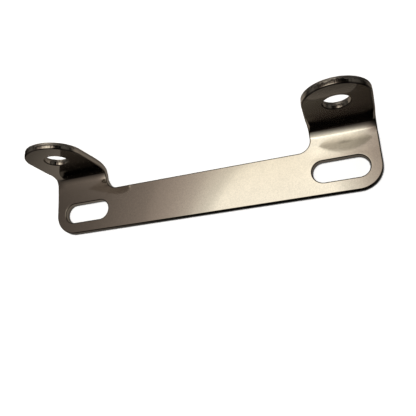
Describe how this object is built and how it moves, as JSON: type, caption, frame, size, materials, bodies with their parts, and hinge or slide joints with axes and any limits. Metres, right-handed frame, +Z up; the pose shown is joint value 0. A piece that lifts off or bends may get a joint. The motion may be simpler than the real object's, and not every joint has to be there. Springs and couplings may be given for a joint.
{
  "type": "headlamp bracket",
  "caption": "Folded sheet-steel bracket: a mounting strip with slotted ends and upright round-tipped ears, each drilled for a lamp bolt.",
  "frame": {"origin": "midway between the centres of the two mounting slots, on the strip's mounting face", "axes": "+X along the strip, +Y across it towards the folded ears, +Z up out of the mounting face, the way the ears stand"},
  "size_m": [0.153, 0.032, 0.0378],
  "materials": {
    "stainless_sheet": "bright satin rolled stainless sheet, sheared edges"
  },
  "bodies": {
    "root": {"bracket": "stainless_sheet"}
  },
  "joints": []
}
